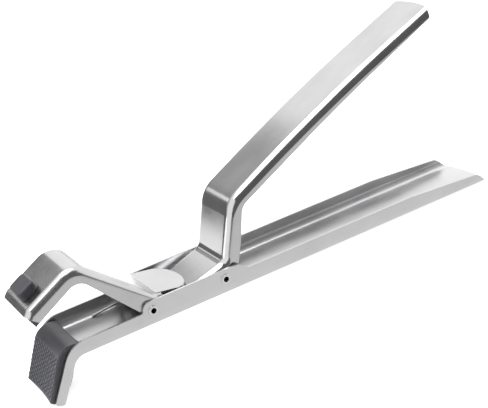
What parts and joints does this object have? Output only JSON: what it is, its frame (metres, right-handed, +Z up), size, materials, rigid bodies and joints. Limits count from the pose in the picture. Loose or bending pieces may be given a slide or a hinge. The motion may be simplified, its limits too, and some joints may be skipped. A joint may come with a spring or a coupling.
{
  "type": "jar lifter",
  "caption": "Hand-held jar lifter: a steel lever handle closes two rubber-padded jaws, and a spring opens them again.",
  "frame": {"origin": "on the flat underside of the lower handle, halfway across, straight below the jaw pivot", "axes": "+X along the lower handle towards its rear tip, so the jaws are at -X; +Y across the tool; +Z up, square to the lower handle's underside"},
  "size_m": [0.2404, 0.036, 0.1133],
  "materials": {
    "arms": "bright polished stainless sheet with a fine lengthwise grain",
    "pads": "satin moulded rubber",
    "rivets": "turned steel",
    "spring": "drawn spring wire"
  },
  "bodies": {
    "base": {"base_channel": "arms", "lower_jaw_pad": "pads", "jaw_pivot_rivet": "rivets", "lever_pivot_rivet": "rivets", "return_spring": "spring", "lever_spacer_near": "rivets", "lever_spacer_far": "rivets"},
    "jaw": {"upper_jaw": "arms", "upper_jaw_pad": "pads"},
    "lever": {"lever_handle": "arms"}
  },
  "joints": [
    {"name": "lever_pivot", "type": "hinge", "parent": "base", "child": "lever", "pos_m": [0.0365, 0, 0.0081], "axis": [0, 1, 0], "range_deg": [0, 24], "stiffness_Nm_per_rad": 0.3, "springref_deg": -45.84},
    {"name": "jaw_pivot", "type": "hinge", "parent": "base", "child": "jaw", "pos_m": [0, 0, 0.008], "axis": [0, 1, 0], "range_deg": [-26.5, 0], "deforming": ["return_spring"]}
  ],
  "couplings": [
    {"joint": "jaw_pivot", "follows": "lever_pivot", "ratio": -1.1}
  ]
}
